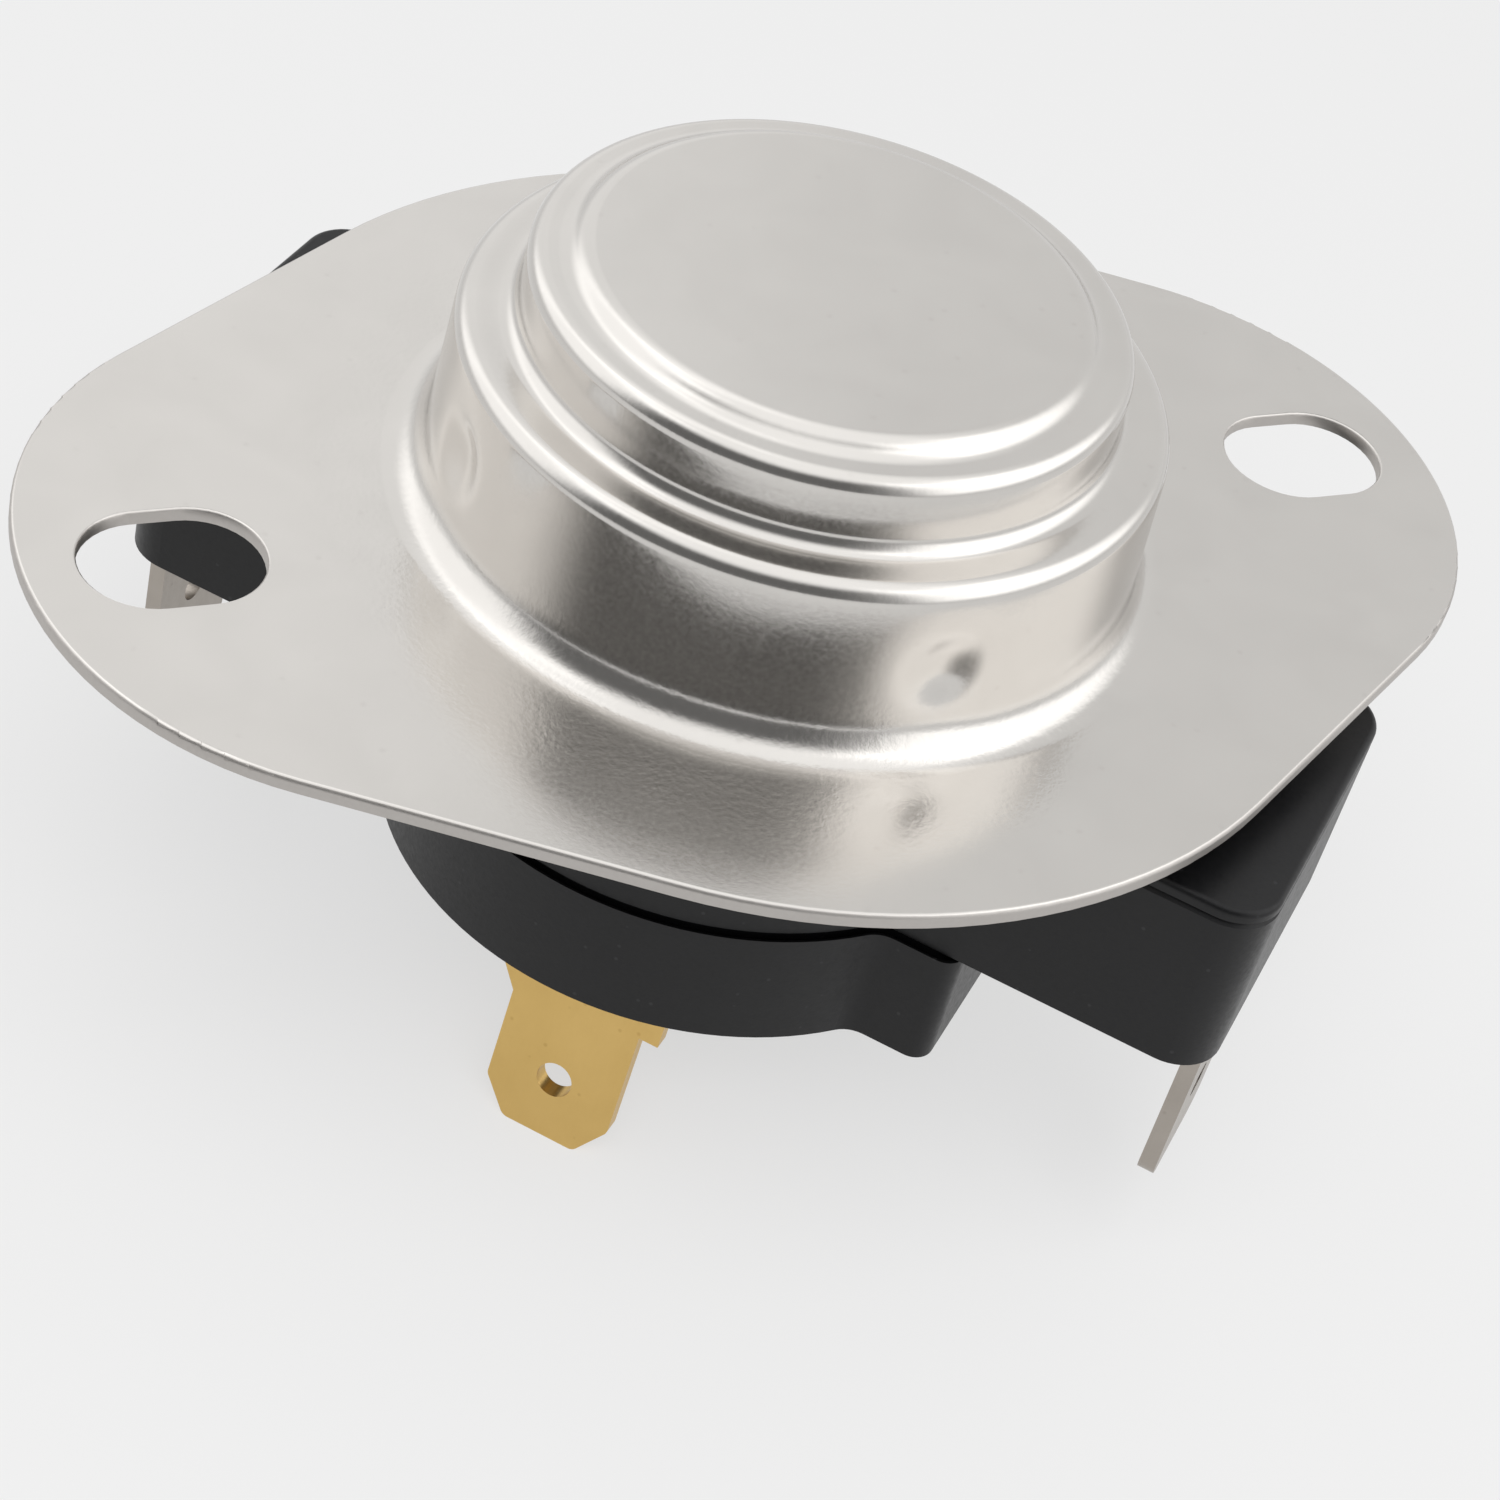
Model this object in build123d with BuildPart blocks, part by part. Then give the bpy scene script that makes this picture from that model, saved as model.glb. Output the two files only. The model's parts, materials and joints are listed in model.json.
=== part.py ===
from build123d import *
import math
import os

# Disc-type bimetal temperature switch with a bias heater, in millimetres.
# Origin: centre of the cup on the upper face of the flange. X runs along the flange, +Z is up.

# Mounting cup: one drawn stamping of sheet steel
sheet = 0.65
flange_length = 67.6
flange_end_radius = 16.05
flange_centre_radius = 25.4
slot_end_margin = 6.3
slot_length = 7.9
slot_width = 5.94
slot_edge = 0.12
rim_round = 0.22
plateau_radius = 11.4
plateau_height = 12.94
step_run = 0.15
step_drop = 1.8
shoulder_width = 1.4
ledge_height = 8.22
ledge_width = 2.65
wall_spread = 0.4
flare_land = 0.8

# Inside radius of each bend of the cup, from the centre outwards
plateau_bend = 0.1
step_bend = 0.15
shoulder_bend = 0.15
ledge_inner_bend = 0.6
ledge_outer_bend = 0.3
flare_bend = 1.8

# Stakes: four round punch marks in the cup's lower wall
stake_count = 4
stake_height = 4.1
stake_width = 3.0
stake_depth = 0.6
stake_rim_round = 0.5

# Bimetal disc
disc_gap = 0.75
disc_thickness = 0.25
disc_rise = 0.6

# Pin guide
guide_plate = 1.5
guide_gap = 0.35
guide_ring_gap = 0.25
guide_ring_width = 2.5
guide_ring_height = 2.43
guide_hub_radius = 3.0
guide_hub_rise = 1.2

# Transfer pin
pin_radius = 1.2
pin_clearance = 0.06
pin_end_gap = 0.02
pin_top_edge = 0.4
pin_tip_share = 0.95

# Heater housing and its cross bar
bar_angle = -47.8
bar_reach = 2.2
bar_half_width = 8.75
bar_corner = 2.3
bar_top = -2.55
parting = -12.15
bar_edge = 0.2
collar_step = 0.05
collar_rise = 0.8
seam_height = 0.3
seam_depth = 0.4
boss_gap = 0.4
boss_chamfer = 0.4
stake_clearance = 0.12
stake_groove_height = 2.7
core_inner_radius = 4.0
core_wall = 2.0
core_floor = -0.9
end_wall = 0.5
pocket_margin = 2.25
pocket_half_width = 7.3
pocket_floor = -9.4
shadow_groove = 0.3

# End covers
cover_thickness = 0.6
cover_edge = 0.3
cover_collar_gap = 0.15
plug_depth = 0.8
plug_clearance = 0.15

# Bias heater: a wound resistor along the bar
resistor_across = 4.8
resistor_height = -6.7
resistor_core_radius = 1.7
resistor_core_half_length = 11.0
winding_radius = 2.2
winding_half_length = 9.9
winding_turns = 5
winding_groove = 0.25
cap_radius = 2.15
cap_overlap = 1.0
cap_end = 1.0
lead_radius = 0.4
tunnel_clearance = 0.15
solder_gap = 0.03
slip_gap = 0.02

# Bias terminals
bias_thickness = 0.8
bias_inner_edge = 0.2
bias_width = 6.3
bias_tip = -21.75
bias_tip_corner = 1.3
bias_hole_radius = 0.85
bias_hole_rise = 4.3
bias_head_half_width = 6.6
bias_head_top = -4.4
slot_clearance = 0.05

# Switch case: a drum with two flat ears
case_height = 6.45
case_floor = 1.6
drum_step = 0.25
ear_reach = 0.75
ear_step = 0.35
ear_corner = 1.0
ear_blend = 1.5
case_edge = 0.3
groove_lip = 0.12
groove_width = 0.4
groove_depth = 0.5
case_wall = 2.95
pad_half_width = 3.6
pad_margin = 1.8

# Case rivets
case_rivet_margin = 1.65
case_rivet_radius = 1.0
case_rivet_head_radius = 1.6
case_rivet_head = 0.6
case_rivet_grip = 5.4
rivet_slip = 0.02

# Brass terminals
blade_thickness = 0.8
blade_face = 13.0
blade_width = 6.3
blade_offset = 1.0
blade_lean = 10
blade_tip = -28.05
blade_tip_run = 1.3
blade_tip_rise = 1.8
blade_tip_round = 0.5
blade_hole_radius = 0.88
blade_hole_height = -24.9
blade_shoulder_width = 8.2
blade_shoulder_height = -20.65
blade_shoulder_slope = 0.75
foot_margin = 2.4
foot_bend = 0.4

# Terminal rivets
rivet_place = 9.0
rivet_radius = 0.9
rivet_head_radius = 1.5
rivet_head = 0.6

# Contact arm
arm_rise = 2.0
arm_thickness = 0.3
arm_clearance = 0.12
arm_root_width = 5.0
arm_tip_width = 4.0
arm_back_margin = 1.4
arm_tip_margin = 1.9
arm_corner = 0.8
arm_hole_clearance = 0.15

# Contacts and the fixed contact's bracket
contact_place = 5.0
contact_radius = 1.5
contact_thickness = 0.8
contact_edge = 0.2
contact_gap = 0.02
contact_shank_radius = 0.55
contact_tail_radius = 0.9
contact_tail = 0.3
bracket_thickness = 0.6
bracket_width = 5.0
bracket_web_gap = 0.7
bracket_foot_margin = 1.8
bracket_strip_margin = 1.8
bracket_bend = 0.4

# Levels and places that follow from the sizes above
slot_spacing = flange_length - 2 * slot_end_margin
bar_half_length = flange_centre_radius + bar_reach
step_foot = plateau_radius + step_run
upper_wall_radius = step_foot + shoulder_width
lower_wall_radius = upper_wall_radius + ledge_width
inner_wall = lower_wall_radius - sheet
wall_foot = lower_wall_radius + wall_spread
stake_wall_radius = wall_foot - wall_spread * stake_height / ledge_height
shoulder_height = plateau_height - step_drop
disc_radius = upper_wall_radius - sheet - disc_gap
collar_radius = inner_wall + collar_step
drum_radius = collar_radius + drum_step
cavity_radius = drum_radius - case_wall
ear_half_length = drum_radius + ear_reach
ear_half_width = bar_half_width + ear_step
case_rivet_place = cavity_radius + case_rivet_margin
ledge_underside = ledge_height - sheet
guide_bottom = ledge_underside - guide_plate
ring_top = ledge_underside + guide_ring_height
disc_crown = ring_top + disc_rise
boss_radius = inner_wall - boss_gap
boss_top = guide_bottom
flare_end = wall_foot + flare_bend
cover_seat = bar_top - cover_thickness
pocket_end = bar_half_length - end_wall
pocket_start = case_rivet_place + case_rivet_radius + pocket_margin
pocket_length = pocket_end - pocket_start
case_bottom = parting - case_height
floor_top = case_bottom + case_floor
arm_top = floor_top + arm_rise
arm_bottom = arm_top - arm_thickness
pad_top = arm_bottom - arm_clearance
pin_bottom = arm_top + pin_end_gap
pin_top = disc_crown - pin_end_gap - pin_end_gap
strip_bottom = arm_top + contact_thickness + contact_gap + contact_thickness
strip_top = strip_bottom + bracket_thickness
foot_bottom = case_bottom - blade_thickness
tip_place = blade_face + (case_bottom - blade_tip) * math.tan(math.radians(blade_lean))

along = Vector(1, 0, 0).rotate(Axis.Z, bar_angle)
across = Vector(0, 1, 0).rotate(Axis.Z, bar_angle)
up = Vector(0, 0, 1)


# A level plane at height z, turned with the bar: x runs along the bar, y across it
def level(z):
    return Plane(origin=(0, 0, z), x_dir=along, z_dir=up)


# An upright plane that faces along the bar: x runs across the bar, y is up
def end_view(distance=0):
    return Plane(origin=along * distance, x_dir=across, z_dir=along)


# An upright plane through the axis, seen from the side of a terminal: x runs outward, y is up
def side_view(outward):
    return Plane(origin=(0, 0, 0), x_dir=outward, z_dir=outward.cross(up))


# An upright plane through the axis, seen from in front of a terminal and moved sideways: y is up
def face_view(outward, sideways):
    return Plane(origin=up.cross(outward) * sideways, x_dir=up.cross(outward), z_dir=outward)


# Closed section of a folded sheet: its outer corners run clockwise, each bend has an inside radius
def sheet_section(outer_corners, bends, thickness):
    corners = [Vector(*corner) for corner in outer_corners]
    runs = [(after - before).normalized() for before, after in zip(corners, corners[1:])]
    inward = [Vector(run.Y, -run.X) * thickness for run in runs]
    inner_corners = [corners[0] + inward[0]]
    outer_radii, inner_radii = [], []
    for index, bend in enumerate(bends):
        mitre = (inward[index] + inward[index + 1]) / (1 + runs[index].dot(runs[index + 1]))
        inner_corners.append(corners[index + 1] + mitre)
        turns_inward = runs[index].cross(runs[index + 1]).Z < 0
        outer_radii.append(bend + thickness if turns_inward else bend)
        inner_radii.append(bend if turns_inward else bend + thickness)
    inner_corners.append(corners[-1] + inward[-1])
    with BuildSketch() as section:
        with BuildLine():
            outer_face = FilletPolyline(*corners, radius=outer_radii)
            inner_face = FilletPolyline(*inner_corners, radius=inner_radii)
            Line(outer_face @ 0, inner_face @ 0)
            Line(outer_face @ 1, inner_face @ 1)
        make_face()
    return section.sketch


# A round peg between two heights at a place in plan, in the part that is being built
def peg(place, bottom, top, radius, mode=Mode.ADD):
    with Locations((place.X, place.Y, bottom)):
        Cylinder(radius, top - bottom, align=(Align.CENTER, Align.CENTER, Align.MIN), mode=mode)


# Names the finished piece and writes it
def save(piece, name):
    piece.part.label = name
    export_step(piece.part, f"parts/{name}.step")


os.makedirs("parts", exist_ok=True)

# Inward bumps of the four stakes: each is the sheet pushed in by a round punch
punch_radius = ((stake_width / 2) ** 2 + stake_depth**2) / (2 * stake_depth)
punch_place = stake_wall_radius - stake_depth + punch_radius
with BuildPart() as stake_bumps:
    with PolarLocations(punch_place, stake_count):
        with Locations((0, 0, stake_height)):
            Sphere(punch_radius + sheet)
    with Locations((0, 0, stake_height)):
        Cylinder(stake_wall_radius - sheet / 2, 2 * inner_wall, mode=Mode.INTERSECT)

# Mounting cup
cup_section = sheet_section(
    [
        (0, plateau_height),
        (plateau_radius, plateau_height),
        (step_foot, shoulder_height),
        (upper_wall_radius, shoulder_height),
        (upper_wall_radius, ledge_height),
        (lower_wall_radius, ledge_height),
        (wall_foot, 0),
        (flare_end + flare_land, 0),
    ],
    [plateau_bend, step_bend, shoulder_bend, ledge_inner_bend, ledge_outer_bend, flare_bend],
    sheet,
)
with BuildPart() as mounting_cup:
    with BuildSketch():
        end_place = flange_length / 2 - flange_end_radius
        Circle(flange_centre_radius)
        with Locations((-end_place, 0), (end_place, 0)):
            Circle(flange_end_radius)
        make_hull()
    extrude(amount=-sheet)
    fillet(mounting_cup.edges().group_by(Axis.Z)[-1], radius=rim_round)
    with BuildSketch():
        with Locations((-slot_spacing / 2, 0), (slot_spacing / 2, 0)):
            SlotOverall(slot_length, slot_width)
    extrude(amount=-sheet, mode=Mode.SUBTRACT)
    chamfer(mounting_cup.edges(Select.LAST).group_by(Axis.Z)[-1], length=slot_edge)
    with BuildSketch():
        Circle(flare_end + flare_land)
    extrude(amount=-sheet, mode=Mode.SUBTRACT)
    with BuildSketch(Plane.XZ):
        add(cup_section)
    revolve(axis=Axis.Z)
    add(stake_bumps.part)
    with PolarLocations(punch_place, stake_count):
        with Locations((0, 0, stake_height)):
            Sphere(punch_radius, mode=Mode.SUBTRACT)
    dishes = mounting_cup.faces().filter_by(GeomType.SPHERE).sort_by(SortBy.AREA)[:stake_count]
    fillet([rim for dish in dishes for rim in dish.edges()], radius=stake_rim_round)
save(mounting_cup, "mounting_cup")

# Bimetal disc, dished upwards when it is cold
disc_curve = (disc_radius**2 + disc_rise**2) / (2 * disc_rise)
with BuildPart() as bimetal_disc:
    with BuildSketch(Plane.XZ):
        with BuildLine():
            lower_face = RadiusArc((0, disc_crown), (disc_radius, ring_top), disc_curve)
            upper_face = RadiusArc(
                (0, disc_crown + disc_thickness), (disc_radius, ring_top + disc_thickness), disc_curve
            )
            Line(lower_face @ 0, upper_face @ 0)
            Line(lower_face @ 1, upper_face @ 1)
        make_face()
    revolve(axis=Axis.Z)
save(bimetal_disc, "bimetal_disc")

# Pin guide: a plate under the ledge, a ring that carries the disc and a hub round the pin
with BuildPart() as pin_guide:
    with BuildSketch(level(guide_bottom)):
        Circle(inner_wall - guide_gap)
    extrude(amount=guide_plate)
    chamfer(pin_guide.edges(), length=guide_gap)
    ring_radius = upper_wall_radius - sheet - guide_ring_gap
    with BuildSketch(level(ledge_underside)):
        Circle(ring_radius)
        Circle(ring_radius - guide_ring_width, mode=Mode.SUBTRACT)
    extrude(amount=guide_ring_height)
    with BuildSketch(level(ledge_underside)):
        Circle(guide_hub_radius)
    extrude(amount=guide_hub_rise)
    with Locations((0, 0, guide_bottom)):
        Hole(pin_radius + pin_clearance)
save(pin_guide, "pin_guide")

# Transfer pin, rounded where it meets the arm
with BuildPart() as transfer_pin:
    peg(Vector(0, 0, 0), pin_bottom, pin_top, pin_radius)
    chamfer(transfer_pin.edges().group_by(Axis.Z)[-1], length=pin_top_edge)
    fillet(transfer_pin.edges().group_by(Axis.Z)[0], radius=pin_radius * pin_tip_share)
save(transfer_pin, "transfer_pin")

# Heater housing: boss inside the cup, collar under the flange, cross bar with a pocket at each end
tunnel_radius = winding_radius + tunnel_clearance
blade_centre = bias_inner_edge - bias_width / 2
with BuildPart() as heater_housing:
    with BuildSketch(level(parting)):
        RectangleRounded(2 * bar_half_length, 2 * bar_half_width, bar_corner)
    extrude(amount=cover_seat - parting)
    chamfer(heater_housing.edges().group_by(Axis.Z)[-1], length=shadow_groove)
    chamfer(heater_housing.edges().group_by(Axis.Z)[0], length=bar_edge)
    with BuildSketch(level(parting)):
        Circle(collar_radius - seam_depth)
    extrude(amount=seam_height)
    with BuildSketch(level(parting + seam_height)):
        Circle(collar_radius)
    extrude(amount=collar_rise - parting - seam_height)
    with BuildSketch(level(collar_rise)):
        Circle(boss_radius)
    extrude(amount=boss_top - collar_rise)
    chamfer(heater_housing.edges().group_by(Axis.Z)[-1], length=boss_chamfer)
    groove_radius = stake_wall_radius - stake_depth - sheet - stake_clearance
    with BuildSketch(Plane.XZ):
        with Locations((groove_radius, stake_height)):
            Rectangle(
                lower_wall_radius - groove_radius, stake_groove_height, align=(Align.MIN, Align.CENTER)
            )
    revolve(axis=Axis.Z, mode=Mode.SUBTRACT)
    with BuildSketch(level(core_floor)):
        Circle(boss_radius - core_wall)
        Circle(core_inner_radius, mode=Mode.SUBTRACT)
    extrude(amount=boss_top - core_floor, mode=Mode.SUBTRACT)
    with Locations((0, 0, boss_top)):
        Hole(pin_radius + pin_clearance)
    with BuildSketch(level(pocket_floor)):
        for way in (-1, 1):
            with Locations((way * (pocket_start + pocket_end) / 2, 0)):
                Rectangle(pocket_length, 2 * pocket_half_width)
    extrude(amount=cover_seat - pocket_floor, mode=Mode.SUBTRACT)
    with BuildSketch(level(pocket_floor)):
        for way in (-1, 1):
            with Locations((way * (pocket_end - bias_thickness / 2), blade_centre)):
                Rectangle(bias_thickness + 2 * slot_clearance, bias_width + 2 * slot_clearance)
    extrude(amount=parting - pocket_floor, mode=Mode.SUBTRACT)
    with BuildSketch(end_view()):
        with Locations((resistor_across, resistor_height)):
            Circle(tunnel_radius)
    extrude(amount=pocket_start, both=True, mode=Mode.SUBTRACT)
    for way in (-1, 1):
        place = along * way * case_rivet_place
        peg(place, parting, parting + case_rivet_grip, case_rivet_radius + rivet_slip, Mode.SUBTRACT)
save(heater_housing, "heater_housing")

# End covers: lids of the pockets, cut round where they meet the collar
for name, way in (("end_cover_left", -1), ("end_cover_right", 1)):
    with BuildPart() as end_cover:
        with BuildSketch(level(cover_seat)):
            RectangleRounded(2 * bar_half_length, 2 * bar_half_width, bar_corner)
            Circle(collar_radius + cover_collar_gap, mode=Mode.SUBTRACT)
            with Locations((-way * bar_half_length / 2, 0)):
                Rectangle(bar_half_length, 2 * bar_half_width, mode=Mode.SUBTRACT)
        extrude(amount=cover_thickness)
        fillet(end_cover.edges().group_by(Axis.Z)[-1], radius=cover_edge)
        with BuildSketch(level(cover_seat)):
            with Locations((way * (pocket_start + pocket_end) / 2, 0)):
                Rectangle(pocket_length - 2 * plug_clearance, 2 * (pocket_half_width - plug_clearance))
        extrude(amount=-plug_depth)
    save(end_cover, name)

# Bias terminals: a wide head on the pocket floor and a blade down through it
for name, way in (("bias_terminal_left", -1), ("bias_terminal_right", 1)):
    inner_face = pocket_end - bias_thickness if way > 0 else -pocket_end
    with BuildPart() as bias_terminal:
        with BuildSketch(end_view(inner_face)):
            with Locations((0, pocket_floor)):
                Rectangle(
                    2 * bias_head_half_width, bias_head_top - pocket_floor, align=(Align.CENTER, Align.MIN)
                )
            with BuildSketch(mode=Mode.PRIVATE) as blade_outline:
                Rectangle(bias_width, pocket_floor - bias_tip, align=(Align.CENTER, Align.MIN))
                fillet(blade_outline.vertices().group_by(Axis.Y)[0], radius=bias_tip_corner)
            with Locations((blade_centre, bias_tip)):
                add(blade_outline.sketch)
            with Locations((blade_centre, bias_tip + bias_hole_rise)):
                Circle(bias_hole_radius, mode=Mode.SUBTRACT)
            with Locations((resistor_across, resistor_height)):
                Circle(lead_radius + solder_gap, mode=Mode.SUBTRACT)
        extrude(amount=bias_thickness)
    save(bias_terminal, name)

# Bias heater: ceramic core, winding, and an end cap with a lead at each end
resistor_end_view = Plane(origin=across * resistor_across + up * resistor_height, x_dir=across, z_dir=along)
with BuildPart() as resistor_core:
    with BuildSketch(resistor_end_view):
        Circle(resistor_core_radius)
    extrude(amount=resistor_core_half_length, both=True)
save(resistor_core, "resistor_core")

turn_pitch = 2 * winding_half_length / winding_turns
with BuildPart() as resistor_winding:
    with BuildSketch(resistor_end_view):
        Circle(winding_radius)
        Circle(resistor_core_radius + slip_gap, mode=Mode.SUBTRACT)
    extrude(amount=winding_half_length, both=True)
    for turn in range(1, winding_turns):
        groove_place = turn * turn_pitch - winding_half_length - winding_groove
        with BuildSketch(resistor_end_view.offset(groove_place)):
            Circle(winding_radius)
            Circle(winding_radius - winding_groove, mode=Mode.SUBTRACT)
        extrude(amount=2 * winding_groove, mode=Mode.SUBTRACT)
save(resistor_winding, "resistor_winding")

for name, way in (("resistor_lead_left", -1), ("resistor_lead_right", 1)):
    cap_start = resistor_core_half_length - cap_overlap
    cap_stop = resistor_core_half_length + cap_end
    with BuildPart() as resistor_lead:
        with BuildSketch(resistor_end_view.offset(way * cap_start)):
            Circle(cap_radius)
        extrude(amount=way * (cap_stop - cap_start))
        with BuildSketch(resistor_end_view.offset(way * cap_start)):
            Circle(resistor_core_radius + slip_gap)
        extrude(amount=way * cap_overlap, mode=Mode.SUBTRACT)
        with BuildSketch(resistor_end_view.offset(way * cap_stop)):
            Circle(lead_radius)
        extrude(amount=way * (pocket_end - cap_stop))
    save(resistor_lead, name)


# Plan of the switch case, drawn in by an inset: the drum runs into its two ears in a soft curve
def case_plan(inset=0):
    with BuildSketch() as plan:
        Circle(drum_radius - inset)
        RectangleRounded(2 * (ear_half_length - inset), 2 * (ear_half_width - inset), ear_corner)
        junctions = plan.vertices().sort_by_distance((0, 0))[:4]
        fillet(junctions, radius=ear_blend)
    return plan.sketch


# Switch case: a drum with two ears, a groove round its top face and a pad for the arm
with BuildPart() as switch_case:
    with BuildSketch(level(case_bottom)):
        add(case_plan())
    extrude(amount=case_height)
    chamfer(switch_case.edges().group_by(Axis.Z)[0], length=case_edge)
    with BuildSketch(level(parting)):
        add(case_plan(groove_lip))
        add(case_plan(groove_lip + groove_width), mode=Mode.SUBTRACT)
    extrude(amount=-groove_depth, mode=Mode.SUBTRACT)
    with BuildSketch(level(floor_top)):
        Circle(cavity_radius)
    extrude(amount=parting - floor_top, mode=Mode.SUBTRACT)
    with BuildSketch(level(floor_top)):
        Circle(cavity_radius)
        with Locations((0, rivet_place - pad_margin)):
            Rectangle(
                2 * pad_half_width, cavity_radius, align=(Align.CENTER, Align.MIN), mode=Mode.INTERSECT
            )
    extrude(amount=pad_top - floor_top)
    peg(across * -rivet_place, case_bottom, floor_top, rivet_radius + rivet_slip, Mode.SUBTRACT)
    peg(across * rivet_place, case_bottom, pad_top, rivet_radius + rivet_slip, Mode.SUBTRACT)
    for way in (-1, 1):
        place = along * way * case_rivet_place
        peg(place, case_bottom, parting, case_rivet_radius + rivet_slip, Mode.SUBTRACT)
save(switch_case, "switch_case")

# Case rivets: driven up through the ears into the housing
with BuildPart() as case_rivets:
    for way in (-1, 1):
        place = along * way * case_rivet_place
        peg(place, case_bottom, parting + case_rivet_grip, case_rivet_radius)
        peg(place, case_bottom - case_rivet_head, case_bottom, case_rivet_head_radius)
    chamfer(case_rivets.edges().group_by(Axis.Z)[0], length=case_rivet_head / 2)
save(case_rivets, "case_rivets")

# Brass terminals: a foot riveted under the drum, bent down into a blade that leans a little outward
terminal_section = sheet_section(
    [(rivet_place - foot_margin, case_bottom), (blade_face, case_bottom), (tip_place, blade_tip)],
    [foot_bend],
    blade_thickness,
)
for name, way in (("line_terminal", -1), ("load_terminal", 1)):
    outward = across * way
    with BuildPart() as terminal:
        with BuildSketch(side_view(outward)):
            add(terminal_section)
        extrude(amount=blade_shoulder_width, both=True)
        with BuildSketch(face_view(outward, blade_offset)) as blade_outline:
            with BuildLine():
                Polyline(
                    (-blade_shoulder_width / 2, case_bottom),
                    (blade_shoulder_width / 2, case_bottom),
                    (blade_shoulder_width / 2, blade_shoulder_height),
                    (blade_width / 2, blade_shoulder_height),
                    (blade_width / 2, blade_tip + blade_tip_rise),
                    (blade_width / 2 - blade_tip_run, blade_tip),
                    (blade_tip_run - blade_width / 2, blade_tip),
                    (-blade_width / 2, blade_tip + blade_tip_rise),
                    (-blade_width / 2, blade_shoulder_height - blade_shoulder_slope),
                    (-blade_shoulder_width / 2, blade_shoulder_height + blade_shoulder_slope),
                    close=True,
                )
            make_face()
            corner_rows = blade_outline.vertices().group_by(Axis.Y)
            fillet(corner_rows[0] + corner_rows[1], radius=blade_tip_round)
            with Locations((0, blade_hole_height)):
                Circle(blade_hole_radius, mode=Mode.SUBTRACT)
        extrude(amount=tip_place, mode=Mode.INTERSECT)
        peg(outward * rivet_place, foot_bottom, case_bottom, rivet_radius + rivet_slip, Mode.SUBTRACT)
    save(terminal, name)

# Line rivet: joins the front terminal, the case floor and the bracket's foot
with BuildPart() as line_rivet:
    foot_top = floor_top + bracket_thickness
    peg(across * -rivet_place, foot_bottom, foot_top, rivet_radius)
    peg(across * -rivet_place, foot_bottom - rivet_head, foot_bottom, rivet_head_radius)
    peg(across * -rivet_place, foot_top, foot_top + rivet_head, rivet_head_radius)
save(line_rivet, "line_rivet")

# Load rivet: joins the back terminal, the case pad and the arm's root
with BuildPart() as load_rivet:
    head_bottom = arm_top + arm_clearance
    peg(across * rivet_place, foot_bottom, head_bottom, rivet_radius)
    peg(across * rivet_place, foot_bottom - rivet_head, foot_bottom, rivet_head_radius)
    peg(across * rivet_place, head_bottom, head_bottom + rivet_head, rivet_head_radius)
save(load_rivet, "load_rivet")

# Bracket of the fixed contact: a strip folded up from the floor and back over the contact
front = across * -1
bracket_web = cavity_radius - bracket_web_gap
bracket_section = sheet_section(
    [
        (contact_place - bracket_strip_margin, strip_top),
        (bracket_web, strip_top),
        (bracket_web, floor_top),
        (rivet_place - bracket_foot_margin, floor_top),
    ],
    [bracket_bend, bracket_bend],
    bracket_thickness,
)
with BuildPart() as fixed_contact_bracket:
    with BuildSketch(side_view(front)):
        add(bracket_section)
    extrude(amount=bracket_width / 2, both=True)
    peg(front * rivet_place, floor_top, foot_top, rivet_radius + rivet_slip, Mode.SUBTRACT)
    peg(front * contact_place, strip_bottom, strip_top, contact_shank_radius + rivet_slip, Mode.SUBTRACT)
save(fixed_contact_bracket, "fixed_contact_bracket")

# Fixed contact, riveted under the strip
with BuildPart() as fixed_contact:
    peg(front * contact_place, strip_bottom - contact_thickness, strip_bottom, contact_radius)
    chamfer(fixed_contact.edges().group_by(Axis.Z)[0], length=contact_edge)
    peg(front * contact_place, strip_bottom, strip_top, contact_shank_radius)
    peg(front * contact_place, strip_top, strip_top + contact_tail, contact_tail_radius)
save(fixed_contact, "fixed_contact")

# Contact arm: a thin spring strip, wider at its riveted root
with BuildPart() as contact_arm:
    with BuildSketch(level(arm_bottom)) as arm_plan:
        with BuildLine():
            Polyline(
                (-arm_root_width / 2, rivet_place + arm_back_margin),
                (-arm_tip_width / 2, -contact_place - arm_tip_margin),
                (arm_tip_width / 2, -contact_place - arm_tip_margin),
                (arm_root_width / 2, rivet_place + arm_back_margin),
                close=True,
            )
        make_face()
        fillet(arm_plan.vertices(), radius=arm_corner)
        with Locations((0, rivet_place)):
            Circle(rivet_radius + arm_hole_clearance, mode=Mode.SUBTRACT)
        with Locations((0, -contact_place)):
            Circle(contact_shank_radius + rivet_slip, mode=Mode.SUBTRACT)
    extrude(amount=arm_thickness)
save(contact_arm, "contact_arm")

# Moving contact, riveted on the arm
with BuildPart() as moving_contact:
    peg(front * contact_place, arm_top, arm_top + contact_thickness, contact_radius)
    chamfer(moving_contact.edges().group_by(Axis.Z)[-1], length=contact_edge)
    peg(front * contact_place, arm_bottom, arm_top, contact_shank_radius)
    peg(front * contact_place, arm_bottom - contact_tail, arm_bottom, contact_tail_radius)
save(moving_contact, "moving_contact")
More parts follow.
